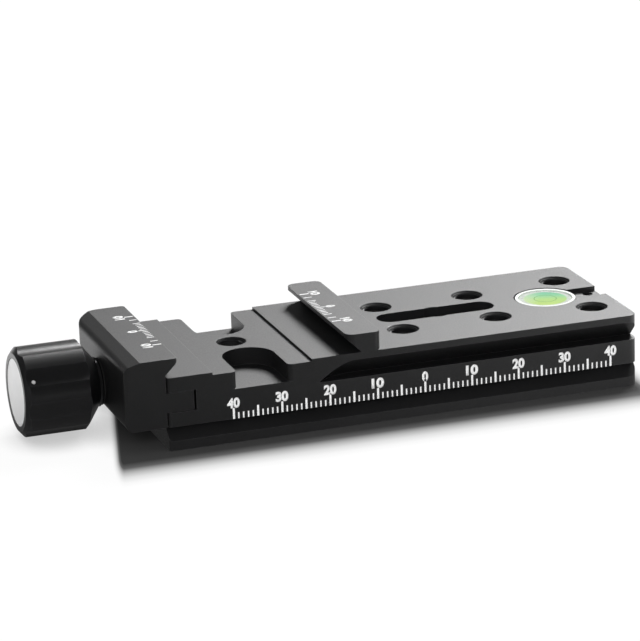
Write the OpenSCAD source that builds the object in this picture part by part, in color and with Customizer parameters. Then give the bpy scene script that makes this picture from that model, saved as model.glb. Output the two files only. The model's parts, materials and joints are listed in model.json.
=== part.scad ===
// Nodal slide rail with a screw clamp, millimetres.
// X runs along the rail with 0 at the zero of the scale and the clamp at the negative end.
// Z = 0 is the underside of the dovetail foot, Y = 0 the middle of the rail.

/* [Rail] */
// Width of the rail, of the foot and of the jaws
rail_w = 38; // [36:0.5:44]
// Height of the rail from its underside to the clamp pads
rail_h = 15; // [14.8:0.1:17]
// Scale zero to the level end of the rail
rail_right = 46; // [44:0.5:60]
// Plan radius of the corners at the level end
rail_corner_r = 1.8; // [0.5:0.1:4]
// Plan radius of the corners beside the movable jaw
rail_left_r = 0.6; // [0.3:0.1:1]

/* [Dovetail foot and side grooves] */
// Height of the upright edge of the foot
foot_edge_h = 2; // [1.5:0.1:2.4]
// Depth of the 45 degree slope above the foot edge
foot_slope = 2.6; // [2:0.1:3]
// Upright neck between the slope and the scale band
foot_neck_h = 0.3; // [0.1:0.1:0.6]
// Height of the band that carries the scale
scale_band_h = 5; // [4.5:0.1:5.4]
// Depth of the 45 degree groove above the scale band
groove_depth = 3.7; // [3:0.1:3.9]
// Radius of the cutter that ends the groove, at the shelf
groove_cutter_r = 10.5; // [8:0.5:12]
// Scale zero to the axis of that cutter
groove_start = 14.3; // [12:0.1:16]

/* [Clamp seat] */
// Scale zero to the centre of the clamp seat
clamp_centre = 33.8; // [32:0.1:38]
// Clamp centre to the threaded hole in the seat, towards the movable jaw
seat_hole_off = 0.4; // [0:0.1:1]
// Clamp centre to the end face beside the movable jaw
clamp_to_end = 19.45; // [19:0.05:22]
// Clamp centre to the foot of the fixed jaw
clamp_to_fixed = 20.7; // [20:0.05:21.2]
// Length of the relieved middle of the seat
relief_len = 20.4; // [16:0.2:24]
// Depth of the relief
relief_depth = 0.5; // [0.3:0.1:0.8]
// Width of the U pockets at the sides of the seat
pocket_w = 10.6; // [8:0.2:12]
// Reach of the U pockets in from the side face
pocket_reach = 14.2; // [12:0.2:15]
// Depth of the U pockets below the pads
pocket_depth = 4; // [3:0.1:5]
// Radius at the mouth of the U pockets
pocket_mouth_r = 1; // [0.5:0.1:2]

/* [Fixed jaw] */
// Height of both jaws above the clamp pads
jaw_rise = 3.85; // [3.6:0.05:4.4]
// Thickness of the fixed jaw along the rail at its top
fixed_top_len = 7.2; // [6:0.1:8]
// Reach of its lip over the seat, at 45 degrees
fixed_lip = 3.1; // [2.2:0.05:3.2]
// Plan radius of the lip corners
lip_corner_r = 1.8; // [0.5:0.1:3]
// Plan radius of the back corners of the fixed jaw
fixed_back_r = 1.5; // [0.3:0.1:2.5]

/* [Movable jaw] */
// Gap between the jaw and the end of the rail as it stands
jaw_gap = 0.25; // [0.22:0.01:0.6]
// Thickness of the jaw along the rail
jaw_len = 8.3; // [7.8:0.05:10]
// Reach of its lip past its inner face, at 45 degrees
jaw_lip = 2.55; // [1.8:0.05:2.8]
// Height of the upright edge of that lip
lip_edge_h = 0.75; // [0.4:0.05:1]
// How much narrower the jaw is than the rail
jaw_side_step = 0.2; // [0.1:0.1:0.6]
// Length of the sloping facet on top of the jaw
facet_len = 3.25; // [2:0.05:4]
// Fall of that facet
facet_drop = 1; // [0.5:0.1:2]
// Radius of the edge between that facet and the outer face
jaw_edge_r = 1.5; // [0.5:0.1:3]
// Radius of the lower outer edge
jaw_bottom_r = 1.6; // [1:0.1:3.5]
// Plan radius of the outer corner on the near side
jaw_front_r = 0.8; // [0.5:0.1:3]
// Plan radius of the outer corner on the far side
jaw_rear_r = 5.7; // [0.5:0.1:6.5]
// Plan radius of the lip corners of the jaw
jaw_lip_r = 0.7; // [0.5:0.1:2]
// Height of the guide tongues
tongue_h = 4; // [3:0.1:4.4]
// Reach of the tongues into the rail
tongue_len = 5.6; // [5.2:0.1:7]
// Gap between the two tongues
tongue_gap = 11; // [10.6:0.2:14]

/* [Knob] */
// Diameter of the grip
knob_d = 18; // [16:0.1:19]
// Length of the fluted grip
grip_len = 12; // [10:0.5:16]
// Length of the front chamfer
knob_chamfer = 0.95; // [0.5:0.05:1.5]
// Width of the front chamfer, measured on the radius
knob_chamfer_r = 1.15; // [0.5:0.05:1.3]
// Length of the taper behind the grip
knob_taper = 3.1; // [2:0.05:4]
// Diameter of the neck
neck_d = 9.9; // [9:0.1:10.6]
// Length of the neck
neck_len = 0.45; // [0.3:0.05:2]
// Number of flutes
flute_count = 8; // [6:1:10]
// Radius of the flute cutter
flute_r = 5; // [3:0.1:6]
// Depth of a flute
flute_depth = 0.53; // [0.3:0.01:0.8]
// Angle of the first flute above the horizontal
flute_phase = 34.5; // [0:0.5:45]
// Diameter of the disc on the end of the knob
cap_d = 13.5; // [12:0.1:14]
// Thickness of that disc
cap_h = 0.6; // [0.4:0.1:0.8]
// Diameter of the cross pin
pin_d = 0.8; // [0.6:0.1:1]
// Angle of the pin above the horizontal
pin_angle = 29; // [0:1:45]
// Front of the knob to the pin
pin_from_front = 1.95; // [1.9:0.05:4]
// Depth of the pin's ends below the bottom of a flute
pin_sunk = 0.1; // [0.05:0.05:0.4]

/* [Screw and spring] */
// Height of the screw axis above the underside
axis_z = 9.9; // [9.7:0.1:10]
// Diameter of the clamp screw
screw_d = 6; // [5:0.1:6.1]
// Front of the knob to the end of the screw inside it
screw_inset = 1; // [0.95:0.05:1.2]
// Length of screw that shows past the thread insert
screw_past = 0.55; // [0.3:0.05:1]
// Outer diameter of the thread insert
insert_d = 8; // [7.6:0.1:8.4]
// Length of the thread insert
insert_len = 8; // [6:0.5:8.5]
// Thickness of the steel washer on the knob side
thrust_t = 0.3; // [0.2:0.05:0.6]
// Thickness of the plastic washer on the jaw side
friction_t = 0.26; // [0.2:0.02:0.6]
// Outer diameter of both washers
washer_d = 9.4; // [8.5:0.1:9.8]
// Thickness of the retaining clip
clip_t = 0.6; // [0.4:0.1:0.8]
// Depth of the clip groove in the screw
clip_groove = 0.5; // [0.3:0.1:0.6]
// Gap in the clip
clip_opening = 2.4; // [1.5:0.1:3]
// Depth of the spring pocket in the jaw
jaw_pocket = 3.5; // [3:0.1:4]
// Depth of the spring pocket in the rail
rail_pocket = 3.5; // [3:0.1:4]
// Diameter of both spring pockets
spring_pocket_d = 8.4; // [8.4:0.1:9]
// Wire diameter of the return spring
wire_d = 0.7; // [0.6:0.1:0.8]
// Coils of the return spring
spring_coils = 4; // [3:0.5:4]

/* [Threaded holes and slot] */
// Thread core diameter of the 1/4-20 holes
thread_core_d = 5.2; // [5:0.05:5.4]
// Depth of the chamfer at the mouth of each hole
thread_chamfer = 0.5; // [0.3:0.05:0.5]
// Width of that chamfer, measured on the radius
thread_mouth = 0.7; // [0.3:0.1:0.9]
// Width of the chamfer on the hole in the clamp seat
seat_mouth = 0.45; // [0.2:0.05:0.9]
// Scale zero to the first pair of inner holes, towards the clamp
hole_start = 0.5; // [0:0.1:1]
// Spacing of the inner holes along the rail
hole_pitch_x = 20; // [18:0.5:22]
// Spacing of the inner holes across the rail
hole_pitch_y = 16.2; // [15:0.2:20]
// End of the rail to the outer pair of holes
end_hole_inset = 6.2; // [5.5:0.1:7]
// Spacing of the outer pair across the rail
end_hole_pitch = 20; // [19.6:0.2:23]
// Width of the long slot
slot_w = 6; // [5:0.1:6.4]
// Length of the long slot over its round ends
slot_len = 25.2; // [22:0.2:30]
// Diameter of the hole that crosses the middle of the slot
slot_hole_d = 6.7; // [6.5:0.1:7.4]

/* [Level] */
// End of the rail to the centre of the level
level_inset = 12.3; // [11.5:0.05:13]
// Diameter of the level housing
level_d = 12.4; // [11:0.1:12.6]
// Diameter of the pocket for the level
level_pocket_d = 13; // [12.8:0.1:13.4]
// Depth of the pocket for the level
level_pocket_depth = 8; // [7:0.1:8.5]
// Depth of the level housing below the top of the rail
level_sunk = 0.1; // [0.05:0.05:1]
// Wall of the level housing
level_wall = 1.05; // [0.8:0.05:1.4]
// Floor of the level housing
level_floor = 1; // [0.6:0.1:1.5]
// Thickness of the level window
window_t = 1.5; // [1:0.1:2]
// Depth of the window below the rim of the housing
window_sunk = 0.15; // [0.1:0.05:0.5]
// Thickness of the seal under the window
seal_t = 0.3; // [0.2:0.05:0.6]
// Width of the ledge that carries the seal
seal_w = 0.4; // [0.3:0.05:0.6]
// Diameter of the bubble at the window
bubble_d = 4.2; // [3:0.1:5]
// Depth of the bubble
bubble_h = 1.1; // [0.6:0.1:1.5]
// Width of the notch from the level to the end face
notch_w = 5.9; // [4:0.1:7]
// Depth of that notch
notch_depth = 1; // [0.8:0.1:2]
// Diameter of the small hole in the floor of the notch
stop_hole_d = 2.2; // [1.5:0.1:2.6]
// End of the rail to that hole
stop_hole_inset = 2.3; // [1.8:0.1:3]
// Middle of the rail to that hole
stop_hole_y = 1.4; // [0:0.1:1.6]

/* [Fits] */
// Gap on each side of a guide tongue
tongue_fit = 0.08; // [0.05:0.01:0.3]
// Gap past the ends of the guide tongues
tongue_end_fit = 0.45; // [0.4:0.05:1.2]
// Running gap round the screw, on the radius
run_fit = 0.05; // [0.02:0.01:0.1]
// Gap round fixed pieces, on the radius
seat_fit = 0.02; // [0.01:0.01:0.05]

/* [Hidden] */

$fn = 64;
past = 1;
half_w = rail_w / 2;
clamp_x = -clamp_centre;
rail_x0 = clamp_x - clamp_to_end;
rail_x1 = rail_right;

band_z0 = foot_edge_h + foot_slope + foot_neck_h;
band_z1 = band_z0 + scale_band_h;

fixed_root_x = clamp_x + clamp_to_fixed;
fixed_lip_x = fixed_root_x - fixed_lip;
fixed_back_x = fixed_lip_x + fixed_top_len;
jaw_top_z = rail_h + jaw_rise;

jaw_x1 = rail_x0 - jaw_gap;
jaw_x0 = jaw_x1 - jaw_len;
jaw_lip_x = jaw_x1 + jaw_lip;
lip_z = jaw_top_z - lip_edge_h;
jaw_half_w = half_w - jaw_side_step / 2;
jaw_z0 = band_z0;
tongue_z0 = axis_z - tongue_h / 2;
tongue_x1 = jaw_x1 + tongue_len;
tongue_slot_x1 = tongue_x1 + tongue_end_fit;

knob_r = knob_d / 2;
neck_x1 = jaw_x0 - friction_t - seat_fit - thrust_t;
taper_x1 = neck_x1 - neck_len;
grip_x1 = taper_x1 - knob_taper;
grip_x0 = grip_x1 - grip_len;
knob_x0 = grip_x0 - knob_chamfer;
cap_x0 = knob_x0 + 0.1;
cap_x1 = cap_x0 + cap_h;
pin_x = knob_x0 + pin_from_front;

screw_r = screw_d / 2;
screw_bore_r = screw_r + run_fit;
insert_x0 = rail_x0 + rail_pocket;
insert_x1 = insert_x0 + insert_len;
screw_x0 = knob_x0 + screw_inset;
screw_x1 = insert_x1 + screw_past;
jaw_pocket_x0 = jaw_x1 - jaw_pocket;
clip_x0 = jaw_pocket_x0 + run_fit;
clip_x1 = clip_x0 + clip_t;
clip_core_r = screw_r - clip_groove;
clip_r = spring_pocket_d / 2 - 0.3;

spring_x0 = clip_x1 + run_fit;
spring_x1 = insert_x0 - run_fit;
steps_per_coil = 8;
spring_r = (screw_r + run_fit + wire_d / 2) / cos(180 / steps_per_coil);
spring_pitch = (spring_x1 - spring_x0 - wire_d) / spring_coils;

thread_r = thread_core_d / 2;
seat_hole_x = clamp_x - seat_hole_off;
slot_x = hole_pitch_x / 2 - hole_start;
end_hole_x = rail_x1 - end_hole_inset;
stop_hole_depth = 3;

level_x = rail_x1 - level_inset;
level_z1 = rail_h - level_sunk;
level_z0 = rail_h - level_pocket_depth + seat_fit;
window_z1 = level_z1 - window_sunk;
window_z0 = window_z1 - window_t;
ledge_z = window_z0 - seal_t - seat_fit;
cavity_z0 = level_z0 + level_floor;
window_r = level_d / 2 - level_wall * 0.6;
cavity_r = window_r - seal_w;

// A cylinder along X between two places on the screw axis
module bar(x0, x1, r) {
    translate([x0, 0, axis_z]) rotate([0, 90, 0]) cylinder(h = x1 - x0, r = r);
}

// The near half of a plate with a radius at each of its two near corners
module half_plan(x0, x1, half, r0, r1) {
    translate([x0 + r0, -half]) square([x1 - x0 - r0 - r1, half + past]);
    translate([x0, r0 - half]) square([x1 - x0 - r1, half - r0 + past]);
    translate([x0 + r0, r1 - half]) square([x1 - x0 - r0, half - r1 + past]);
    translate([x0 + r0, r0 - half]) circle(r = r0);
    translate([x1 - r1, r1 - half]) circle(r = r1);
}

// A plate with one radius for the corners at each end
module rounded_plan(x0, x1, half, r0, r1) {
    half_plan(x0, x1, half, r0, r1);
    mirror([0, 1]) half_plan(x0, x1, half, r0, r1);
}

// An outline in X and Z drawn out across the rail
module across(half) {
    translate([0, half, 0]) rotate([90, 0, 0]) linear_extrude(height = 2 * half) children();
}

// An outline in Y and Z drawn out along the rail
module along(x0, x1) {
    translate([x0, 0, 0]) rotate([90, 0, 90]) linear_extrude(height = x1 - x0) children();
}

// The groove above the scale band, with the round end that its cutter leaves
module side_groove() {
    axis_y = -half_w + groove_depth - groove_cutter_r;
    cut_h = groove_depth + past;
    along(-groove_start, rail_x1 + past)
        polygon([[-half_w + groove_depth, band_z1], [-half_w - past, band_z1],
            [-half_w - past, band_z1 + cut_h]]);
    translate([-groove_start, axis_y, band_z1])
        cylinder(h = cut_h, r1 = groove_cutter_r, r2 = groove_cutter_r - cut_h);
}

// The 45 degree groove over the foot
module foot_groove() {
    in_y = -half_w + foot_slope;
    along(rail_x0 - past, rail_x1 + past)
        polygon([[-half_w - past, foot_edge_h - past], [in_y, foot_edge_h + foot_slope],
            [in_y, band_z0], [-half_w - past, band_z0]]);
}

// A U pocket open at the near side of the clamp seat
module seat_pocket() {
    r = pocket_w / 2;
    in_y = -half_w + pocket_reach - r;
    translate([clamp_x, 0, rail_h - pocket_depth]) linear_extrude(height = pocket_depth + past) {
        translate([0, in_y]) circle(r = r);
        translate([-r, -half_w - past]) square([pocket_w, in_y + half_w + past]);
        difference() {
            translate([-r - pocket_mouth_r, -half_w - past])
                square([pocket_w + 2 * pocket_mouth_r, past + pocket_mouth_r]);
            for (x = [-r - pocket_mouth_r, r + pocket_mouth_r])
                translate([x, pocket_mouth_r - half_w]) circle(r = pocket_mouth_r);
        }
    }
}

// The space that one guide tongue slides in
module tongue_slot() {
    inner_y = tongue_gap / 2 - tongue_fit;
    translate([rail_x0 - past, -half_w - past, tongue_z0 - tongue_fit])
        cube([tongue_slot_x1 - rail_x0 + past, half_w + past - inner_y, tongue_h + 2 * tongue_fit]);
}

// A threaded hole right through, with both mouths chamfered
module thread_hole(x, y, top, mouth = thread_mouth) {
    mouth_r = thread_r + mouth;
    translate([x, y, -past]) cylinder(h = top + 2 * past, r = thread_r);
    translate([x, y, top - thread_chamfer]) cylinder(h = thread_chamfer, r1 = thread_r, r2 = mouth_r);
    translate([x, y, top]) cylinder(h = past, r = mouth_r);
    translate([x, y, 0]) cylinder(h = thread_chamfer, r1 = mouth_r, r2 = thread_r);
    translate([x, y, -past]) cylinder(h = past, r = mouth_r);
}

// The long slot, with a hole across its middle
module long_slot() {
    reach = (slot_len - slot_w) / 2;
    translate([slot_x, 0, -past]) linear_extrude(height = rail_h + 2 * past) {
        translate([-reach, -slot_w / 2]) square([2 * reach, slot_w]);
        for (x = [-reach, reach]) translate([x, 0]) circle(d = slot_w);
        circle(d = slot_hole_d);
    }
}

module fixed_jaw() {
    intersection() {
        across(half_w)
            polygon([[fixed_root_x, band_z1], [fixed_root_x, rail_h],
                [fixed_lip_x, rail_h + fixed_lip], [fixed_lip_x, jaw_top_z],
                [fixed_back_x, jaw_top_z], [fixed_back_x, band_z1]]);
        linear_extrude(height = jaw_top_z)
            rounded_plan(fixed_lip_x, fixed_back_x, half_w, lip_corner_r, fixed_back_r);
    }
}

module rail_body() {
    color("dimgray") difference() {
        union() {
            linear_extrude(height = rail_h)
                rounded_plan(rail_x0, rail_x1, half_w, rail_left_r, rail_corner_r);
            fixed_jaw();
        }
        side_groove();
        mirror([0, 1, 0]) side_groove();
        foot_groove();
        mirror([0, 1, 0]) foot_groove();
        translate([clamp_x - relief_len / 2, -half_w - past, rail_h - relief_depth])
            cube([relief_len, rail_w + 2 * past, relief_depth + past / 2]);
        seat_pocket();
        mirror([0, 1, 0]) seat_pocket();
        tongue_slot();
        mirror([0, 1, 0]) tongue_slot();
        bar(rail_x0 - past, insert_x0, spring_pocket_d / 2);
        bar(insert_x0 - past, insert_x1 + seat_fit, insert_d / 2 + seat_fit);
        bar(insert_x1, screw_x1 + 0.9, screw_bore_r);
        thread_hole(seat_hole_x, 0, rail_h - relief_depth, seat_mouth);
        for (x = [-hole_start, hole_pitch_x - hole_start], side = [-1, 1])
            thread_hole(x, side * hole_pitch_y / 2, rail_h);
        for (side = [-1, 1]) thread_hole(end_hole_x, side * end_hole_pitch / 2, rail_h);
        long_slot();
        translate([level_x, 0, rail_h - level_pocket_depth])
            cylinder(h = level_pocket_depth + past, d = level_pocket_d);
        translate([level_x, -notch_w / 2, rail_h - notch_depth])
            cube([rail_x1 - level_x + past, notch_w, notch_depth + past]);
        translate([rail_x1 - stop_hole_inset, stop_hole_y, rail_h - notch_depth - stop_hole_depth])
            cylinder(h = stop_hole_depth + past, d = stop_hole_d);
    }
}

module thread_insert() {
    color("lightgray") difference() {
        bar(insert_x0, insert_x1, insert_d / 2);
        bar(insert_x0 - past, insert_x1 + past, screw_bore_r);
    }
}

// Points along the helix of the return spring, a ring of six round each
function coil_point(t) = [spring_x0 + wire_d / 2 + spring_pitch * t,
    spring_r * cos(360 * t), axis_z + spring_r * sin(360 * t)];
function coil_dir(t) = let(v = [spring_pitch, -2 * PI * spring_r * sin(360 * t),
    2 * PI * spring_r * cos(360 * t)]) v / norm(v);
function coil_out(t) = [0, cos(360 * t), sin(360 * t)];
function coil_ring(t) = let(o = coil_out(t), s = cross(coil_dir(t), o))
    [for (a = [0 : 60 : 300]) coil_point(t) + wire_d / 2 * (o * cos(a) + s * sin(a))];
coil_steps = spring_coils * steps_per_coil;
// Least gap between neighbouring turns, measured between the wire centres of one turn and the next
coil_gap = min([for (i = [0 : steps_per_coil], j = [-4 : 4])
    norm(coil_point(i / steps_per_coil + 1 + j / 48) - coil_point(i / steps_per_coil))]) - wire_d;
echo(least_coil_gap = coil_gap);

module return_spring() {
    points = [for (i = [0 : coil_steps], p = coil_ring(i / steps_per_coil)) p];
    last = coil_steps * 6;
    sides = [for (i = [0 : coil_steps - 1], k = [0 : 5], half = [0, 1])
        let(a = i * 6 + k, b = i * 6 + (k + 1) % 6)
        half == 0 ? [a, b, b + 6] : [a, b + 6, a + 6]];
    caps = [for (k = [1 : 4], end = [0, 1])
        end == 0 ? [0, k + 1, k] : [last, last + k, last + k + 1]];
    color("silver") polyhedron(points = points, faces = concat(sides, caps));
}

module level_cup() {
    color("white") translate([level_x, 0, 0]) difference() {
        translate([0, 0, level_z0]) cylinder(h = level_z1 - level_z0, d = level_d);
        translate([0, 0, cavity_z0]) cylinder(h = level_z1, r = cavity_r);
        translate([0, 0, ledge_z]) cylinder(h = level_z1, r = window_r + seat_fit);
    }
}

module level_seal() {
    color("black") translate([level_x, 0, ledge_z]) difference() {
        cylinder(h = seal_t, r = window_r);
        translate([0, 0, -past]) cylinder(h = seal_t + 2 * past, r = cavity_r);
    }
}

module level_window() {
    color("azure") translate([level_x, 0, window_z0]) cylinder(h = window_t, r = window_r);
}

// A flat-topped cap of a ball, lying under the window
module bubble_shape(grow) {
    r = (bubble_d * bubble_d / 4 + bubble_h * bubble_h) / (2 * bubble_h);
    top = window_z0 - seat_fit;
    translate([level_x, 0, 0]) intersection() {
        translate([0, 0, top - bubble_h + r]) sphere(r = r + grow);
        translate([0, 0, top - bubble_h - past]) cylinder(h = bubble_h + past, r = cavity_r);
    }
}

module level_fluid() {
    color("teal") difference() {
        translate([level_x, 0, cavity_z0])
            cylinder(h = window_z0 - seat_fit - cavity_z0, r = cavity_r - seat_fit);
        bubble_shape(seat_fit);
    }
}

module level_bubble() {
    color("lightcyan") bubble_shape(0);
}

// Jaw outline in X and Z, with the lip towards the clamp seat
module jaw_outline() {
    r = jaw_bottom_r;
    e = jaw_edge_r;
    root_z = lip_z - jaw_lip;
    slope = atan(facet_drop / facet_len);
    edge_z = jaw_top_z - (facet_len - e) * tan(slope) - e / cos(slope);
    polygon([[jaw_x0 + facet_len, jaw_top_z], [jaw_lip_x, jaw_top_z], [jaw_lip_x, lip_z],
        [jaw_x1, root_z], [jaw_x1, jaw_z0], [jaw_x0 + r, jaw_z0], [jaw_x0 + r, jaw_z0 + r],
        [jaw_x0, jaw_z0 + r], [jaw_x0, edge_z], [jaw_x0 + e, edge_z],
        [jaw_x0 + e - e * sin(slope), edge_z + e * cos(slope)]]);
    translate([jaw_x0 + r, jaw_z0 + r]) circle(r = r);
    translate([jaw_x0 + e, edge_z]) circle(r = e);
}

module movable_jaw() {
    tongue_w = jaw_half_w - tongue_gap / 2;
    color("dimgray") difference() {
        union() {
            intersection() {
                across(jaw_half_w) jaw_outline();
                linear_extrude(height = jaw_top_z + past) {
                    half_plan(jaw_x0, jaw_lip_x, jaw_half_w, jaw_front_r, jaw_lip_r);
                    mirror([0, 1]) half_plan(jaw_x0, jaw_lip_x, jaw_half_w, jaw_rear_r, jaw_lip_r);
                }
            }
            for (y = [-jaw_half_w, tongue_gap / 2])
                translate([jaw_x1 - past, y, tongue_z0]) cube([tongue_len + past, tongue_w, tongue_h]);
        }
        bar(jaw_x0 - past, jaw_x1 + past, screw_bore_r);
        bar(jaw_pocket_x0, jaw_x1 + past, spring_pocket_d / 2);
    }
}

module washer(x0, thickness) {
    difference() {
        bar(x0, x0 + thickness, washer_d / 2);
        bar(x0 - past, x0 + thickness + past, screw_bore_r);
    }
}

module friction_washer() {
    color("black") washer(jaw_x0 - friction_t, friction_t);
}

module thrust_washer() {
    color("dimgray") washer(neck_x1, thrust_t);
}

// The cross pin through the knob and the end of the screw
module pin_shape(r, length) {
    translate([pin_x, 0, axis_z]) rotate([90 - pin_angle, 0, 0])
        translate([0, 0, -screw_r]) cylinder(h = length + screw_r, r = r);
}

module clamp_screw() {
    color("silver") difference() {
        bar(screw_x0, screw_x1, screw_r);
        difference() {
            bar(clip_x0 - seat_fit, clip_x1 + seat_fit, screw_r + past);
            bar(clip_x0 - past, clip_x1 + past, clip_core_r);
        }
        pin_shape(pin_d / 2 + seat_fit, knob_r);
    }
}

module retaining_clip() {
    color("gray") difference() {
        bar(clip_x0, clip_x1, clip_r);
        bar(clip_x0 - past, clip_x1 + past, clip_core_r + seat_fit);
        translate([clip_x0 - past, -clip_opening / 2, axis_z - clip_r - past])
            cube([clip_t + 2 * past, clip_opening, clip_r + past]);
    }
}

// Half outline of the knob, radius first and then length from its front
module knob_outline() {
    rim_r = knob_r - knob_chamfer_r;
    grip_end = grip_x1 - knob_x0;
    taper_end = taper_x1 - knob_x0;
    neck_end = neck_x1 - knob_x0;
    polygon([[0, 0], [rim_r, 0], [knob_r, knob_chamfer], [knob_r, grip_end],
        [neck_d / 2, taper_end], [neck_d / 2, neck_end], [0, neck_end]]);
}

module knob_body() {
    color("black") difference() {
        translate([knob_x0, 0, axis_z]) rotate([0, 90, 0]) rotate_extrude() knob_outline();
        bar(knob_x0 - past, cap_x1 + seat_fit, cap_d / 2 + seat_fit);
        bar(screw_x0 - seat_fit, neck_x1 + past, screw_r + seat_fit);
        for (i = [0 : flute_count - 1])
            translate([0, 0, axis_z]) rotate([-flute_phase - 360 * i / flute_count, 0, 0])
                translate([knob_x0 - past, flute_depth - knob_r - flute_r, -axis_z])
                    bar(0, taper_x1 - knob_x0 + past, flute_r);
        pin_shape(pin_d / 2 + seat_fit, 2 * knob_r);
    }
}

module knob_cap() {
    color("white") bar(cap_x0, cap_x1, cap_d / 2);
}

module knob_pin() {
    color("silver") pin_shape(pin_d / 2, knob_r - flute_depth - pin_sunk);
}

rail_body();
thread_insert();
return_spring();
level_cup();
level_seal();
level_window();
level_fluid();
level_bubble();
movable_jaw();
friction_washer();
clamp_screw();
retaining_clip();
thrust_washer();
knob_body();
knob_cap();
knob_pin();
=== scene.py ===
import json
import math

import bmesh
import bpy
from mathutils import Matrix, Vector


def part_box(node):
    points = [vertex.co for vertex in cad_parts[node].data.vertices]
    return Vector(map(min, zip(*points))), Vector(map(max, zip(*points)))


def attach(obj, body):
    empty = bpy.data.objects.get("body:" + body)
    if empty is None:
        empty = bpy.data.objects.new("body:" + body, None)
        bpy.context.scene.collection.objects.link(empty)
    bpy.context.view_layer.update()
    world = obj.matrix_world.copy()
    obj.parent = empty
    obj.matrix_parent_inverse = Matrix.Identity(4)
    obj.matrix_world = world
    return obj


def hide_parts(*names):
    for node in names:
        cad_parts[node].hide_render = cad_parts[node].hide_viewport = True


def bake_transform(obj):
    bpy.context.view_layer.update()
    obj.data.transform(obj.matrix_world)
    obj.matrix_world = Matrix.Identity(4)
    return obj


MM = 0.001

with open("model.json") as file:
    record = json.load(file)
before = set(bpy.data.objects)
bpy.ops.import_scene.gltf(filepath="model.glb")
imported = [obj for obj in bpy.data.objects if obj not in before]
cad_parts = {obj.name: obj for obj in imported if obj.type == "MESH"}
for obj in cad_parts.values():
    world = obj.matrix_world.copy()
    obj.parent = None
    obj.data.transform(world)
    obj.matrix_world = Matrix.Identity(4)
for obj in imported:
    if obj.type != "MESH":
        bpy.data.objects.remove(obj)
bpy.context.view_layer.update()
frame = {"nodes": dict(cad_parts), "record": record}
nodes = frame["nodes"]

# Places taken from the frame, in metres
RAIL_LO, RAIL_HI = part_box("rail_body")
CUP_LO, CUP_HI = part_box("level_cup")
WINDOW_LO, WINDOW_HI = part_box("level_window")
SPRING_LO, SPRING_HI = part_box("return_spring")
SCREW_LO, SCREW_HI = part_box("clamp_screw")
MOUNTS = {m["name"]: m for m in frame["record"]["mounts"]}
HALF_W = RAIL_HI.y
LIP_TOP = RAIL_HI.z
RAIL_TOP = MOUNTS["rail_top"]["pos_m"][2]
CLAMP_X = MOUNTS["clamp_centre"]["pos_m"][0]
LEVEL_X = (CUP_LO.x + CUP_HI.x) / 2
SCREW_Z = (SCREW_LO.z + SCREW_HI.z) / 2


# The camera stands where the photograph was taken from
IMAGE_W = 640
FOCAL_PX = 3562.3
CAMERA_AT = Vector((-231.9, -650.5, 230.3)) * MM
CAMERA_AZIMUTH = math.radians(18.425)
CAMERA_DOWN = math.radians(17.334)
CAMERA_ROLL = math.radians(-1.910)
SENSOR_MM = 36
SHIFT_RIGHT_PX, SHIFT_DOWN_PX = 0.5, 0.4
CLIP_M = 0.05, 20


def make_camera():
    data = bpy.data.cameras.new("camera")
    data.sensor_fit = "HORIZONTAL"
    data.sensor_width = SENSOR_MM
    data.lens = SENSOR_MM * FOCAL_PX / IMAGE_W
    data.clip_start, data.clip_end = CLIP_M
    data.shift_x = -SHIFT_RIGHT_PX / IMAGE_W
    data.shift_y = SHIFT_DOWN_PX / IMAGE_W
    cam = bpy.data.objects.new("camera", data)
    bpy.context.scene.collection.objects.link(cam)
    tilt = Matrix.Rotation(math.pi / 2 - CAMERA_DOWN, 4, "X")
    turn = Matrix.Rotation(-CAMERA_AZIMUTH, 4, "Z") @ tilt
    cam.matrix_world = Matrix.Translation(CAMERA_AT) @ turn @ Matrix.Rotation(CAMERA_ROLL, 4, "Z")
    bpy.context.scene.camera = cam


# Materials

OXIDE_IOR, PLASTIC_IOR = 1.6, 1.49
RAIL_BLACK = (0.009, 0.009, 0.0095)
KNOB_BLACK = (0.006, 0.006, 0.0065)
# Lighter colour for the edges: partly wear, partly a painted highlight in place of edge glints
WORN_AND_SHEEN = (0.10, 0.10, 0.105)

# Thread ends on the mouths of the holes: the step from ring to ring, and how far below the top they go
MOUTH_RING = 0.24 * MM
MOUTH_LOW = 1.05 * MM

# Length of the colour ramps across the level
RAMP_REACH = 10 * MM


def new_material(name):
    """A material with its node tree and its Principled shader."""
    mat = bpy.data.materials.new(name)
    mat.use_nodes = True
    tree = mat.node_tree
    bsdf = tree.nodes["Principled BSDF"]
    return mat, tree, bsdf


def add(tree, kind, **values):
    """A node, with its inputs or properties set by name."""
    node = tree.nodes.new(kind)
    for key, value in values.items():
        if key in node.inputs:
            node.inputs[key].default_value = value
        else:
            setattr(node, key, value)
    return node


def feed(tree, socket, value):
    """Sets an input from another node's socket, a colour or a number."""
    if isinstance(value, bpy.types.NodeSocket):
        tree.links.new(value, socket)
    elif hasattr(value, "__len__") and len(socket.default_value) > len(value):
        socket.default_value = (*value, 1)
    else:
        socket.default_value = value


def maths(tree, operation, *values):
    node = add(tree, "ShaderNodeMath", operation=operation)
    for socket, value in zip(node.inputs, values):
        feed(tree, socket, value)
    return node.outputs[0]


def vectors(tree, operation, a, b, output="Vector"):
    node = add(tree, "ShaderNodeVectorMath", operation=operation)
    feed(tree, node.inputs[0], a)
    feed(tree, node.inputs[1], b)
    return node.outputs[output]


def split_xyz(tree, vector):
    node = add(tree, "ShaderNodeSeparateXYZ")
    tree.links.new(vector, node.inputs[0])
    return node.outputs


def own_place(tree):
    """The place on the object, in its own coordinates."""
    return add(tree, "ShaderNodeTexCoord").outputs["Object"]


def smooth_range(tree, value, low, high, at_low, at_high):
    node = add(tree, "ShaderNodeMapRange", interpolation_type="SMOOTHSTEP")
    node.inputs["From Min"].default_value = low
    node.inputs["From Max"].default_value = high
    node.inputs["To Min"].default_value = at_low
    node.inputs["To Max"].default_value = at_high
    tree.links.new(value, node.inputs["Value"])
    return node.outputs["Result"]


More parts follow.
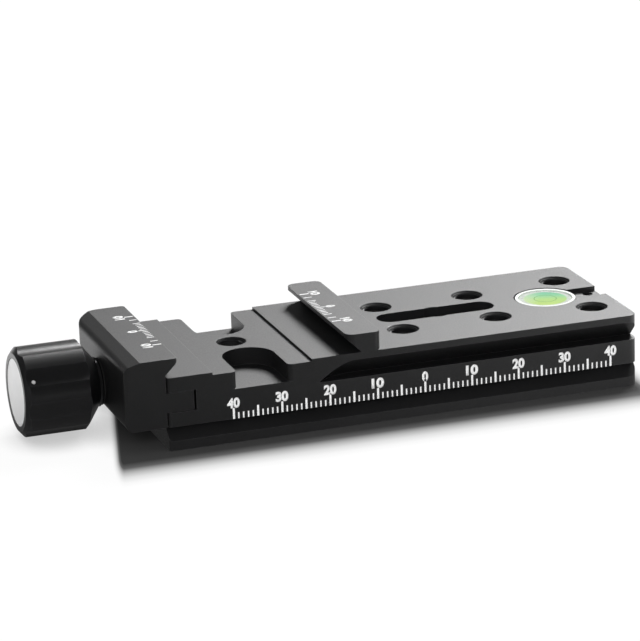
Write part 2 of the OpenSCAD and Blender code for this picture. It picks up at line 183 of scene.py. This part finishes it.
def noise(tree, size, detail=2.0, rough=0.5, stretch=(1, 1, 1)):
    """Noise with features of about that size in metres, in the object's own coordinates."""
    mapping = add(tree, "ShaderNodeMapping")
    mapping.inputs["Scale"].default_value = stretch
    tree.links.new(own_place(tree), mapping.inputs["Vector"])
    tex = add(tree, "ShaderNodeTexNoise")
    tex.inputs["Scale"].default_value = 1 / size
    tex.inputs["Detail"].default_value = detail
    tex.inputs["Roughness"].default_value = rough
    tree.links.new(mapping.outputs["Vector"], tex.inputs["Vector"])
    return tex.outputs["Fac"]


def ramp(tree, fac, stops):
    """Maps fac through (position, value) stops, where a value is a number or a colour."""
    node = add(tree, "ShaderNodeValToRGB")
    tree.links.new(fac, node.inputs["Fac"])
    elements = node.color_ramp.elements
    while len(elements) < len(stops):
        elements.new(0.5)
    for element, (position, value) in zip(elements, stops):
        element.position = position
        element.color = (*value, 1) if hasattr(value, "__len__") else (value, value, value, 1)
    return node.outputs["Color"]


def mix_colour(tree, fac, a, b):
    node = add(tree, "ShaderNodeMix", data_type="RGBA")
    for socket, value in ((node.inputs[0], fac), (node.inputs[6], a), (node.inputs[7], b)):
        feed(tree, socket, value)
    return node.outputs[2]


def mix_value(tree, fac, a, b):
    node = add(tree, "ShaderNodeMix", data_type="FLOAT")
    for socket, value in ((node.inputs[0], fac), (node.inputs[2], a), (node.inputs[3], b)):
        feed(tree, socket, value)
    return node.outputs[0]


def mix_shader(tree, fac, a, b):
    node = add(tree, "ShaderNodeMixShader")
    for socket, value in zip(node.inputs, (fac, a, b)):
        tree.links.new(value, socket)
    return node.outputs[0]


def tint(colour, share):
    return tuple(c * share for c in colour)


def edge_mask(tree, radius, low, high):
    """1 near a sharp edge of the shape and 0 away from it, from the rounded and the true normal."""
    bevel = add(tree, "ShaderNodeBevel", samples=6)
    bevel.inputs["Radius"].default_value = radius
    geometry = add(tree, "ShaderNodeNewGeometry")
    dot = vectors(tree, "DOT_PRODUCT", bevel.outputs["Normal"], geometry.outputs["Normal"], "Value")
    span = add(tree, "ShaderNodeMapRange")
    span.inputs["From Min"].default_value = high
    span.inputs["From Max"].default_value = low
    tree.links.new(dot, span.inputs["Value"])
    return span.outputs["Result"]


def bump(tree, bsdf, height, strength, distance, rounding=0):
    """Fine relief, on top of edges that shade as if they were rounded off to that radius."""
    node = add(tree, "ShaderNodeBump")
    node.inputs["Strength"].default_value = strength
    node.inputs["Distance"].default_value = distance
    tree.links.new(height, node.inputs["Height"])
    if rounding:
        edge = add(tree, "ShaderNodeBevel", samples=8)
        edge.inputs["Radius"].default_value = rounding
        tree.links.new(edge.outputs["Normal"], node.inputs["Normal"])
    tree.links.new(node.outputs["Normal"], bsdf.inputs["Normal"])


def anodised(name, colour, rough, grain, grain_bump, edge_wear_and_sheen=0.5, mottle=0.2, rounding=0.1 * MM):
    """Bead-blasted anodised aluminium: black dyed oxide with a fine speckle and lighter edges, partly wear
    and partly a painted highlight.
    """
    mat, tree, bsdf = new_material(name)
    bsdf.inputs["IOR"].default_value = OXIDE_IOR
    speckle = noise(tree, grain, detail=3.0, rough=0.6)
    cloud = noise(tree, 6 * MM, detail=4.0)
    tone = ramp(tree, speckle, [(0.3, tint(colour, 0.55)), (0.72, tint(colour, 1.6))])
    tone = mix_colour(tree, ramp(tree, cloud, [(0.35, 0.0), (0.7, 0.35)]), tone, tint(colour, 1.5))
    scuff = noise(tree, 1.1 * MM, detail=5.0, rough=0.7)
    # Edges lightened in patches: partly wear, partly a painted highlight
    edge = edge_mask(tree, 0.2 * MM, 0.92, 0.995)
    mask = maths(tree, "MULTIPLY", edge, ramp(tree, scuff, [(0.38, 0.1 * edge_wear_and_sheen), (0.66, edge_wear_and_sheen)]))
    tree.links.new(mix_colour(tree, mask, tone, WORN_AND_SHEEN), bsdf.inputs["Base Color"])
    blast = noise(tree, 0.3 * MM, detail=3.0, rough=0.7)
    tree.links.new(ramp(tree, blast, [(0.25, rough * (1 - mottle)), (0.75, rough * (1 + mottle))]),
                   bsdf.inputs["Roughness"])
    bump(tree, bsdf, speckle, grain_bump, 0.02 * MM, rounding)
    return mat


def ridge_mouths(mat, floor_z):
    """Thread ends show as dark rings on the sloping mouths of the holes above that height."""
    tree = mat.node_tree
    geometry = add(tree, "ShaderNodeNewGeometry")
    facing = split_xyz(tree, geometry.outputs["True Normal"])["Z"]
    height = split_xyz(tree, own_place(tree))["Z"]
    sloped = ramp(tree, facing, [(0.40, 0.0), (0.5, 1.0), (0.90, 1.0), (0.96, 0.0)])
    high = smooth_range(tree, height, floor_z - 0.1 * MM, floor_z, 0.0, 1.0)
    wave = maths(tree, "SINE", maths(tree, "MULTIPLY", height, 2 * math.pi / MOUTH_RING))
    dull = smooth_range(tree, wave, -0.5, 0.8, 0.03, 0.22)
    level = mix_value(tree, maths(tree, "MULTIPLY", sloped, high), 0.5, dull)
    tree.links.new(level, tree.nodes["Principled BSDF"].inputs["Specular IOR Level"])


def steel(name, colour, rough, turned=0.4, metallic=1.0):
    """Bright steel with fine turning rings round the screw's axis."""
    mat, tree, bsdf = new_material(name)
    bsdf.inputs["Metallic"].default_value = metallic
    rings = noise(tree, 0.12 * MM, detail=2.0, stretch=(1, 0.05, 0.05))
    smudge = noise(tree, 2.2 * MM, detail=4.0)
    tone = ramp(tree, rings, [(0.3, tint(colour, 0.8)), (0.7, colour)])
    tree.links.new(tone, bsdf.inputs["Base Color"])
    tree.links.new(ramp(tree, smudge, [(0.3, rough), (0.75, rough * 1.6)]), bsdf.inputs["Roughness"])
    bump(tree, bsdf, rings, turned, 0.01 * MM)
    return mat


def plastic(name, colour, rough):
    """Moulded plastic: nearly even, with a fine grain in its gloss."""
    mat, tree, bsdf = new_material(name)
    bsdf.inputs["IOR"].default_value = PLASTIC_IOR
    fine = noise(tree, 0.3 * MM, detail=3.0)
    cloud = noise(tree, 4 * MM, detail=3.0)
    tone = ramp(tree, cloud, [(0.3, tint(colour, 0.95)), (0.7, colour)])
    tree.links.new(tone, bsdf.inputs["Base Color"])
    tree.links.new(ramp(tree, fine, [(0.3, rough * 0.8), (0.7, rough * 1.2)]), bsdf.inputs["Roughness"])
    bump(tree, bsdf, fine, 0.08, 0.01 * MM)
    return mat


def print_ink(name, colour):
    """Screen-printed or laser-marked white, a little uneven."""
    mat, tree, bsdf = new_material(name)
    bsdf.inputs["Roughness"].default_value = 0.55
    patch = noise(tree, 0.35 * MM, detail=4.0, rough=0.65)
    tone = ramp(tree, patch, [(0.25, tint(colour, 0.78)), (0.5, colour)])
    tree.links.new(tone, bsdf.inputs["Base Color"])
    return mat


def clear(name, colour, ior):
    """A see-through material with a faint haze."""
    mat, tree, bsdf = new_material(name)
    bsdf.inputs["Transmission Weight"].default_value = 1.0
    bsdf.inputs["IOR"].default_value = ior
    bsdf.inputs["Base Color"].default_value = (*colour, 1)
    haze = noise(tree, 0.8 * MM, detail=3.0)
    tree.links.new(ramp(tree, haze, [(0.3, 0.02), (0.8, 0.05)]), bsdf.inputs["Roughness"])
    return mat


def pane(name):
    """The clear top of the level: it bends the camera's view and lets other light straight through."""
    mat, tree, bsdf = new_material(name)
    tree.nodes.remove(bsdf)
    see_through = add(tree, "ShaderNodeBsdfTransparent")
    see_through.inputs["Color"].default_value = (0.97, 0.99, 0.98, 1)
    glass = add(tree, "ShaderNodeBsdfGlass", IOR=PLASTIC_IOR)
    haze = noise(tree, 0.8 * MM, detail=3.0)
    tree.links.new(ramp(tree, haze, [(0.3, 0.01), (0.8, 0.04)]), glass.inputs["Roughness"])
    path = add(tree, "ShaderNodeLightPath")
    both = mix_shader(tree, path.outputs["Is Camera Ray"], see_through.outputs[0], glass.outputs[0])
    tree.links.new(both, tree.nodes["Material Output"].inputs["Surface"])
    return mat


def across_ramp(tree, direction, stops):
    """A ramp along a direction across the level: 0 and 1 lie half of RAMP_REACH either side of its middle."""
    away = vectors(tree, "SUBTRACT", own_place(tree), (LEVEL_X, 0, 0))
    step = Vector(direction).normalized() / RAMP_REACH
    dot = vectors(tree, "DOT_PRODUCT", away, step, "Value")
    return ramp(tree, maths(tree, "ADD", dot, 0.5), stops)


def tinted_fluid(name, rim=None):
    """The level's fluid, one green with painted light on it: painted shading from yellow-green near the
    camera to teal at the far side, and a painted pale highlight at the left.
    Past the rim, a range of distances from its middle, a painted picture of the cup's bright wall shows, in
    lighter and darker streaks."""
    mat, tree, bsdf = new_material(name)
    # Painted shading: the colour shifts along the camera's view across the level
    tone = across_ramp(tree, (0.35, 0.94, 0), [(0.10, (0.60, 0.80, 0.24)), (0.45, (0.54, 0.80, 0.29)),
                                              (0.72, (0.34, 0.73, 0.42)), (0.95, (0.22, 0.58, 0.40))])
    # Painted highlight: a pale patch at the left, broken up by streaks
    painted_pale_highlight = across_ramp(tree, (-0.9, 0.45, 0), [(0.62, 0.0), (0.85, 0.6), (0.98, 0.85)])
    brushed = noise(tree, 0.9 * MM, detail=5.0, rough=0.7)
    mask = maths(tree, "MULTIPLY", painted_pale_highlight, ramp(tree, brushed, [(0.3, 0.6), (0.7, 1.0)]))
    tone = mix_colour(tree, mask, tone, (0.74, 0.84, 0.62))
    if rim:
        flat = vectors(tree, "MULTIPLY", own_place(tree), (1, 1, 0))
        away = vectors(tree, "DISTANCE", flat, (LEVEL_X, 0, 0), "Value")
        streak = ramp(tree, brushed, [(0.35, 0.0), (0.65, 1.0)])
        wall = mix_colour(tree, streak, (0.62, 0.66, 0.61), (0.86, 0.88, 0.84))
        tone = mix_colour(tree, smooth_range(tree, away, *rim, 0.0, 1.0), tone, wall)
    tree.links.new(tone, bsdf.inputs["Base Color"])
    bsdf.inputs["Roughness"].default_value = 0.5
    bsdf.inputs["Specular IOR Level"].default_value = 0.05
    return mat


rail_mat = anodised("rail_anodised", RAIL_BLACK, 0.47, 0.11 * MM, 0.30)
ridge_mouths(rail_mat, RAIL_TOP - MOUTH_LOW)
jaw_mat = anodised("jaw_anodised", RAIL_BLACK, 0.44, 0.11 * MM, 0.30, rounding=0.2 * MM)
knob_mat = anodised("knob_anodised", KNOB_BLACK, 0.30, 0.12 * MM, 0.02, edge_wear_and_sheen=0.3, mottle=0.03,
                    rounding=0.08 * MM)
steel_mat = steel("steel", (0.62, 0.62, 0.63), 0.25)
black_steel_mat = steel("black_steel", (0.02, 0.02, 0.021), 0.55, 0.2)
pin_mat = steel("pin_steel", (0.75, 0.75, 0.75), 0.4, 0.1, metallic=0.3)
spring_mat = steel("spring_steel", (0.50, 0.50, 0.52), 0.3, 0.1)
cap_mat = plastic("cap_white", (0.87, 0.87, 0.87), 0.35)
washer_mat = plastic("washer_plastic", (0.012, 0.012, 0.012), 0.85)
cup_mat = plastic("level_white", (0.84, 0.87, 0.84), 0.6)
seal_mat = plastic("seal_rubber", (0.78, 0.84, 0.78), 0.6)
window_mat = pane("level_clear")
fluid_mat = tinted_fluid("level_green")
bubble_mat = clear("level_air", (0.98, 1.0, 0.96), 1.02)
ink_mat = print_ink("print_white", (0.94, 0.94, 0.94))

for piece, mat in {
    "rail_body": rail_mat, "movable_jaw": jaw_mat, "knob_body": knob_mat, "knob_cap": cap_mat,
    "clamp_screw": steel_mat, "thread_insert": steel_mat, "thrust_washer": black_steel_mat,
    "knob_pin": pin_mat, "retaining_clip": spring_mat, "return_spring": spring_mat,
    "friction_washer": washer_mat, "level_cup": cup_mat, "level_seal": seal_mat,
    "level_window": window_mat, "level_fluid": fluid_mat, "level_bubble": bubble_mat,
}.items():
    nodes[piece].data.materials.clear()
    nodes[piece].data.materials.append(mat)


# Printed marks: thin raised patches on a face

PRINT_H = 0.012 * MM
NUMBER_WEIGHT = 0.05
MERGE_DIST = 0.002 * MM


def face_frame(origin, right, up):
    """Maps drawing coordinates, right and up on a face and out of it, to the row frame."""
    right, up = Vector(right), Vector(up)
    out = right.cross(up)
    m = Matrix((right, up, out)).transposed().to_4x4()
    m.translation = Vector(origin)
    return m


def add_patch(bm, matrix, outline):
    """A raised patch with that outline, a list of (right, up) points in metres."""
    low = [bm.verts.new(matrix @ Vector((x, y, 0))) for x, y in outline]
    high = [bm.verts.new(matrix @ Vector((x, y, PRINT_H))) for x, y in outline]
    bm.faces.new(high)
    bm.faces.new(low[::-1])
    for i in range(len(outline)):
        j = (i + 1) % len(outline)
        bm.faces.new((low[i], low[j], high[j], high[i]))


def bar_outline(x, y0, y1, width):
    return [(x - width / 2, y0), (x + width / 2, y0), (x + width / 2, y1), (x - width / 2, y1)]


def finish_mesh(bm, name, material, body):
    """Makes the mesh a piece that rides on a body."""
    mesh = bpy.data.meshes.new(name)
    bm.normal_update()
    bm.to_mesh(mesh)
    bm.free()
    obj = bpy.data.objects.new(name, mesh)
    bpy.context.scene.collection.objects.link(obj)
    obj.data.materials.append(material)
    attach(obj, body)


def number_mesh(text, height, width):
    """The outline of a short number as a mesh, centred at its middle, in metres."""
    curve = bpy.data.curves.new("number", "FONT")
    curve.body = text
    curve.size = 1
    curve.offset = NUMBER_WEIGHT
    curve.resolution_u = 6
    obj = bpy.data.objects.new("number", curve)
    bpy.context.scene.collection.objects.link(obj)
    bpy.context.view_layer.update()
    mesh = bpy.data.meshes.new_from_object(obj)
    bpy.data.objects.remove(obj)
    xs = [v.co.x for v in mesh.vertices]
    ys = [v.co.y for v in mesh.vertices]
    scale_x = width / (max(xs) - min(xs))
    scale_y = height / (max(ys) - min(ys))
    middle_x, middle_y = (max(xs) + min(xs)) / 2, (max(ys) + min(ys)) / 2
    for v in mesh.vertices:
        v.co = ((v.co.x - middle_x) * scale_x, (v.co.y - middle_y) * scale_y, 0)
    return mesh


def add_number(bm, matrix, text, centre):
    """A raised number, with its middle at that (right, up) point of the face."""
    mesh = number_mesh(text, NUMBER_H, DIGITS_W[len(text)])
    part = bmesh.new()
    part.from_mesh(mesh)
    bmesh.ops.remove_doubles(part, verts=part.verts, dist=MERGE_DIST)
    made = bmesh.ops.extrude_face_region(part, geom=part.faces[:])
    lifted = [g for g in made["geom"] if isinstance(g, bmesh.types.BMVert)]
    bmesh.ops.translate(part, verts=lifted, vec=(0, 0, PRINT_H))
    bmesh.ops.recalc_face_normals(part, faces=part.faces)
    place = matrix @ Matrix.Translation((centre[0], centre[1], 0))
    bmesh.ops.transform(part, matrix=place, verts=part.verts)
    temp = bpy.data.meshes.new("number")
    part.to_mesh(temp)
    part.free()
    bm.from_mesh(temp)
    bpy.data.meshes.remove(temp)
    bpy.data.meshes.remove(mesh)


# Where the marks start on the two lips
FIXED_MARKS_X = -15.85 * MM
JAW_MARKS_X = -51.2 * MM

# Scale along the band on the near side: a tick each millimetre from 40 to 40
BAND_LOW = 4.9 * MM
TICK_W = 0.29 * MM
LONG_TICK_W = 0.42 * MM
TICK_SHORT, TICK_LONG, TICK_ZERO = 1.25 * MM, 2.2 * MM, 2.7 * MM
NUMBER_H = 2.14 * MM
DIGITS_W = {1: 1.3 * MM, 2: 2.62 * MM}
NUMBER_GAP = -0.02 * MM
SCALE_REACH = 40

# Scale on each jaw: a tick each millimetre to DENSE_REACH, then at SPARSE_MM and at JAW_REACH
DENSE_REACH = 4
SPARSE_MM = (5, 7.5)
JAW_REACH = 10
JAW_NUMBER_GAP = 0.1 * MM


def long_scale():
    """The scale on the rail's near side, with a number each centimetre."""
    place = face_frame((0, -HALF_W, BAND_LOW), (1, 0, 0), (0, 0, 1))
    ticks, numbers = bmesh.new(), bmesh.new()
    for i in range(-SCALE_REACH, SCALE_REACH + 1):
        length = TICK_ZERO if i == 0 else TICK_LONG if i % 5 == 0 else TICK_SHORT
        add_patch(ticks, place, bar_outline(i * MM, 0, length, LONG_TICK_W if i % 5 == 0 else TICK_W))
        if i % 10 == 0:
            add_number(numbers, place, str(abs(i)), (i * MM, TICK_LONG + NUMBER_GAP + NUMBER_H / 2))
    finish_mesh(ticks, "scale_ticks", ink_mat, "rail")
    finish_mesh(numbers, "scale_numbers", ink_mat, "rail")


def jaw_scale(name, body, edge_x, side, zero_y, lengths):
    """Marks on top of a jaw, from the lip edge back, with 10 0 10 beside them.
    side is 1 where the marks run towards +X from the lip."""
    place = face_frame((edge_x, zero_y, LIP_TOP), (0, -side, 0), (side, 0, 0))
    long, middle, short = lengths
    bm = bmesh.new()
    for i in range(-DENSE_REACH, DENSE_REACH + 1):
        add_patch(bm, place, bar_outline(i * MM, 0, long if i == 0 else short, TICK_W))
    for at in SPARSE_MM:
        for sign in (-1, 1):
            add_patch(bm, place, bar_outline(sign * at * MM, 0, middle, TICK_W))
    for i in (-JAW_REACH, 0, JAW_REACH):
        if i:
            add_patch(bm, place, bar_outline(i * MM, 0, long, LONG_TICK_W))
        add_number(bm, place, str(abs(i)), (i * MM, long + JAW_NUMBER_GAP + NUMBER_H / 2))
    finish_mesh(bm, name, ink_mat, body)


long_scale()
jaw_scale("jaw_marks", "jaw", JAW_MARKS_X, -1, 1.15 * MM, (1.85 * MM, 1.5 * MM, 1.2 * MM))
jaw_scale("fixed_jaw_marks", "rail", FIXED_MARKS_X, 1, 0.95 * MM, (1.95 * MM, 1.75 * MM, 1.3 * MM))


# Threads in the round holes, and the spring between the jaw and the rail

THREAD_PITCH = 1.27 * MM
THREAD_CORE = 2.58 * MM
THREAD_RISE = 0.22 * MM
# Share of the pitch and rise inwards, up one ridge, and steps in one turn
THREAD_PROFILE = ((0.0, 0.0), (0.42, THREAD_RISE), (0.58, THREAD_RISE))
THREAD_STEPS = 36
# Where the threads start over the underside and end below the top, lower in the clamp seat
THREAD_LOW, THREAD_DOWN = 0.6 * MM, 0.55 * MM
SEAT_DOWN = 0.5 * MM

WIRE_R = 0.33 * MM
SPRING_CLEAR = 0.03 * MM
SPRING_TURNS, SPRING_STEPS, WIRE_SIDES = 4.5, 40, 8


def thread_tube(bm, x, y, z0, z1):
    """The inside of a threaded hole: one strip wound down the core, with a ridge each turn."""
    around = THREAD_STEPS
    steps = int(round((z1 - z0) / THREAD_PITCH * around))
    rows = []
    for i in range(steps + 1):
        a = 2 * math.pi * i / around
        base = z0 + THREAD_PITCH * i / around
        row = []
        for share, rise in THREAD_PROFILE:
            z = min(base + share * THREAD_PITCH, z1)
            r = THREAD_CORE - (0 if z >= z1 else rise)
            row.append(bm.verts.new((x + r * math.cos(a), y + r * math.sin(a), z)))
        rows.append(row)
    for i in range(steps):
        for k in range(len(THREAD_PROFILE) - 1):
            bm.faces.new((rows[i][k], rows[i][k + 1], rows[i + 1][k + 1], rows[i + 1][k]))
        j = i + around
        if j < steps:
            bm.faces.new((rows[i][2], rows[j][0], rows[j + 1][0], rows[i + 1][2]))
        elif j == steps:
            bm.faces.new((rows[i][2], rows[j][0], rows[i + 1][2]))


def make_threads():
    bm = bmesh.new()
    inner, end = MOUNTS["inner_holes"], MOUNTS["end_holes"]
    half_x = inner["dims"]["spacing_x_mm"] * MM / 2
    half_y = inner["dims"]["spacing_y_mm"] * MM / 2
    places = [(inner["pos_m"][0] + sx * half_x, sy * half_y) for sx in (-1, 1) for sy in (-1, 1)]
    places += [(end["pos_m"][0], sy * end["dims"]["spacing_y_mm"] * MM / 2) for sy in (-1, 1)]
    high = RAIL_TOP - THREAD_DOWN
    for x, y in places:
        thread_tube(bm, x, y, THREAD_LOW, high)
    thread_tube(bm, CLAMP_X, 0, THREAD_LOW, high - SEAT_DOWN)
    finish_mesh(bm, "hole_threads", rail_mat, "rail")


def make_spring():
    """A round-wire spring in place of the faceted one, closed at both ends."""
    x0, x1 = SPRING_LO.x + WIRE_R, SPRING_HI.x - WIRE_R
    radius = SPRING_HI.z - SCREW_Z - WIRE_R - SPRING_CLEAR
    bm = bmesh.new()
    rows = []
    count = int(SPRING_TURNS * SPRING_STEPS)
    sides = [2 * math.pi * k / WIRE_SIDES for k in range(WIRE_SIDES)]
    for i in range(count + 1):
        t = i / count
        a = 2 * math.pi * SPRING_TURNS * t
        out = Vector((0, math.cos(a), math.sin(a)))
        at = Vector((x0 + (x1 - x0) * t, 0, SCREW_Z)) + radius * out
        rows.append([bm.verts.new(at + WIRE_R * (out * math.cos(b) + Vector((1, 0, 0)) * math.sin(b)))
                     for b in sides])
    for i in range(count):
        for k in range(WIRE_SIDES):
            n = (k + 1) % WIRE_SIDES
            bm.faces.new((rows[i][k], rows[i][n], rows[i + 1][n], rows[i + 1][k]))
    bm.faces.new(rows[0][::-1])
    bm.faces.new(rows[-1])
    bmesh.ops.recalc_face_normals(bm, faces=bm.faces)
    mesh = bpy.data.meshes.new("spring_coils")
    bm.to_mesh(mesh)
    bm.free()
    for poly in mesh.polygons:
        poly.use_smooth = True
    obj = bpy.data.objects.new("spring_coils", mesh)
    bpy.context.scene.collection.objects.link(obj)
    obj.data.materials.append(spring_mat)
    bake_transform(obj)
    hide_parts("return_spring")


make_threads()
make_spring()


# Level: its face and the circle line, seen through the window

LINE_R, LINE_W = 2.3 * MM, 0.15 * MM
# The line over the face, the face below the window's top and inside its edge
LINE_UP = 0.02 * MM
FACE_DOWN = 0.28 * MM
FACE_IN = 0.05 * MM
# Distances from the middle between which the fluid turns into the wall of the cup
FACE_RIM = (4.2 * MM, 4.75 * MM)
ROUND = [2 * math.pi * i / 64 for i in range(64)]


def circle(bm, radius, z):
    return [bm.verts.new((LEVEL_X + radius * math.cos(a), radius * math.sin(a), z)) for a in ROUND]


def make_level_face():
    """The fluid as it looks from above: a thin face in the window, with the circle line on it."""
    z = WINDOW_HI.z - FACE_DOWN
    face = bmesh.new()
    face.faces.new(circle(face, (WINDOW_HI.x - WINDOW_LO.x) / 2 - FACE_IN, z))
    finish_mesh(face, "level_face", face_mat, "rail")
    line = bmesh.new()
    inner, outer = (circle(line, LINE_R + side * LINE_W / 2, z + LINE_UP) for side in (-1, 1))
    for i in range(len(ROUND)):
        j = (i + 1) % len(ROUND)
        line.faces.new((inner[i], outer[i], outer[j], inner[j]))
    finish_mesh(line, "level_circle", ring_mat, "rail")


ring_mat = plastic("level_line", (0.22, 0.50, 0.16), 0.9)
face_mat = tinted_fluid("level_face", rim=FACE_RIM)
make_level_face()


# Floor, lights and world

FLOOR_SIZE, FLOOR_DOWN = 3, 0.02 * MM

# For the camera: its plain glow, and how much of the cast light shows on it. For other light, its colour
FLOOR_LIFT = 0.93
CAST_SHARE = 0.08
FLOOR_DIFFUSE = (0.80, 0.80, 0.80)

# What the gloss of the rail sees on the floor, and the stretches over which it changes, in metres
FLOOR_GLOSS_FRONT = 0.12
FLOOR_GLOSS_RIGHT = 0.45
FLOOR_GLOSS_REAR = 1.25
FLOOR_GLOSS_END = 1.5
ALONG_X = (-0.06, 0.06)
END_X = (0.055, 0.10)
REAR_Y = (0.0, 0.055)

# The soft shadow: its reach, its stops over that reach, and its ends, where it fades faster by a rate
SHADE_REACH = 20 * MM
SHADE_STOPS = [(0.15, 0.0), (0.29, 0.08), (0.42, 0.46), (0.55, 0.76), (0.69, 0.94), (0.82, 1.0)]
SHADE_LEFT_X = -58.0 * MM
SHADE_LEFT_RATE = 7
SHADE_SLANT = 0.25
SHADE_RIGHT_IN = 2 * MM
SHADE_RIGHT_RATE = 2.6
KNOB_SHADE_REACH = 8 * MM

ROOM_FILL = 0.55
ROOM_GLOSS = 0.05
ROOM_GLOSS_REAR = 0.12
KEY_DIR = (0.46, 0.565, 0.67)
KEY_GLOSS = 36.5
KEY_FILL = 17
FRONT_DIR = (-0.35, -0.85, 0.4)
FRONT_FILL = 6


def floor_place(tree):
    return split_xyz(tree, add(tree, "ShaderNodeNewGeometry").outputs["Position"])


def make_floor():
    """White for the camera and the fill. In gloss, dark before the rail and bright behind it."""
    bm = bmesh.new()
    bmesh.ops.create_grid(bm, x_segments=1, y_segments=1, size=FLOOR_SIZE)
    mesh = bpy.data.meshes.new("floor")
    bm.to_mesh(mesh)
    bm.free()
    floor = bpy.data.objects.new("floor", mesh)
    floor.location = (0, 0, -FLOOR_DOWN)
    bpy.context.scene.collection.objects.link(floor)
    mat = bpy.data.materials.new("floor")
    mat.use_nodes = True
    tree = mat.node_tree
    tree.nodes.clear()
    out = add(tree, "ShaderNodeOutputMaterial")
    path = add(tree, "ShaderNodeLightPath")
    by_camera = path.outputs["Is Camera Ray"]

    diffuse = add(tree, "ShaderNodeBsdfDiffuse")
    feed(tree, diffuse.inputs["Color"], mix_colour(tree, by_camera, FLOOR_DIFFUSE, (CAST_SHARE,) * 3))
    glow = add(tree, "ShaderNodeEmission")
    lift = maths(tree, "MULTIPLY", by_camera, FLOOR_LIFT)
    feed(tree, glow.inputs["Strength"], maths(tree, "MULTIPLY", lift, foot_shade(tree)))
    both = add(tree, "ShaderNodeAddShader")
    feed(tree, both.inputs[0], diffuse.outputs[0])
    feed(tree, both.inputs[1], glow.outputs[0])

    place = floor_place(tree)
    along = smooth_range(tree, place["X"], *ALONG_X, FLOOR_GLOSS_FRONT, FLOOR_GLOSS_RIGHT)
    past_end = smooth_range(tree, place["X"], *END_X, 0.0, FLOOR_GLOSS_END)
    rear = smooth_range(tree, place["Y"], *REAR_Y, 0.0, 1.0)
    gloss = mix_value(tree, rear, maths(tree, "ADD", along, past_end), FLOOR_GLOSS_REAR)
    seen = add(tree, "ShaderNodeEmission")
    feed(tree, seen.inputs["Strength"], gloss)
    surface = mix_shader(tree, path.outputs["Is Glossy Ray"], both.outputs[0], seen.outputs[0])
    tree.links.new(surface, out.inputs["Surface"])
    mesh.materials.append(mat)


def outside(tree, value, low, high):
    """How far a value lies outside a range."""
    short, past = maths(tree, "SUBTRACT", low, value), maths(tree, "SUBTRACT", value, high)
    return maths(tree, "MAXIMUM", maths(tree, "MAXIMUM", short, past), 0.0)


def foot_shade(tree):
    """The soft shadow round the foot: dark at its edge and gone some way out. Its left end is slanted
    and sharp, as in the photograph."""
    place = floor_place(tree)
    left_x = maths(tree, "ADD", maths(tree, "MULTIPLY", place["Y"], SHADE_SLANT), SHADE_LEFT_X)
    left = maths(tree, "MULTIPLY", maths(tree, "SUBTRACT", left_x, place["X"]), SHADE_LEFT_RATE)
    past = maths(tree, "SUBTRACT", place["X"], RAIL_HI.x - SHADE_RIGHT_IN)
    right = maths(tree, "MULTIPLY", past, SHADE_RIGHT_RATE)
    dx = maths(tree, "MAXIMUM", maths(tree, "MAXIMUM", left, right), 0.0)
    dy = outside(tree, place["Y"], RAIL_LO.y, RAIL_HI.y)
    square = maths(tree, "ADD", maths(tree, "MULTIPLY", dx, dx), maths(tree, "MULTIPLY", dy, dy))
    away = maths(tree, "DIVIDE", maths(tree, "POWER", square, 0.5), SHADE_REACH)
    near = add(tree, "ShaderNodeAmbientOcclusion", samples=8)
    near.inputs["Distance"].default_value = KNOB_SHADE_REACH
    knob = ramp(tree, near.outputs["AO"], [(0.2, 0.55), (0.85, 1.0)])
    return maths(tree, "MULTIPLY", ramp(tree, away, SHADE_STOPS), knob)


def make_world():
    """White for the camera, plain light for the fill, and in gloss a dim room with a brighter rear."""
    world = bpy.data.worlds.new("studio")
    bpy.context.scene.world = world
    world.use_nodes = True
    tree = world.node_tree
    tree.nodes.clear()
    out = add(tree, "ShaderNodeOutputWorld")
    back = add(tree, "ShaderNodeBackground")
    path = add(tree, "ShaderNodeLightPath")
    way = split_xyz(tree, add(tree, "ShaderNodeTexCoord").outputs["Generated"])
    rear = smooth_range(tree, way["Y"], -0.2, 0.75, 0.0, 1.0)
    low = smooth_range(tree, way["Z"], 0.2, 0.6, 1.0, 0.0)
    level = maths(tree, "MULTIPLY_ADD", maths(tree, "MULTIPLY", rear, low), ROOM_GLOSS_REAR, ROOM_GLOSS)
    gloss = mix_value(tree, path.outputs["Is Glossy Ray"], ROOM_FILL, level)
    seen = maths(tree, "MAXIMUM", gloss, path.outputs["Is Camera Ray"])
    tree.links.new(seen, back.inputs["Strength"])
    tree.links.new(back.outputs[0], out.inputs["Surface"])


def area_light(name, direction, distance, size, radiance, glossy=True, diffuse=True):
    """A soft box that faces the rail from that direction and distance, with its size in metres and its
    brightness as seen from the front."""
    data = bpy.data.lights.new(name, "AREA")
    data.shape = "RECTANGLE"
    data.size, data.size_y = size
    data.energy = radiance * math.pi * size[0] * size[1]
    light = bpy.data.objects.new(name, data)
    at = Vector(direction).normalized() * distance
    light.location = at
    light.rotation_mode = "QUATERNION"
    light.rotation_quaternion = (-at).to_track_quat("-Z", "Y")
    light.visible_glossy = glossy
    light.visible_diffuse = diffuse
    light.visible_camera = False
    bpy.context.scene.collection.objects.link(light)


def make_lights():
    area_light("key_gloss", KEY_DIR, 2.4, (0.96, 0.96), KEY_GLOSS, diffuse=False)
    area_light("key_fill", KEY_DIR, 1.6, (0.64, 0.64), KEY_FILL, glossy=False)
    area_light("front_fill", FRONT_DIR, 0.9, (0.5, 0.4), FRONT_FILL, glossy=False)


make_camera()
make_floor()
make_world()
make_lights()
bpy.context.scene.view_settings.view_transform = "Standard"
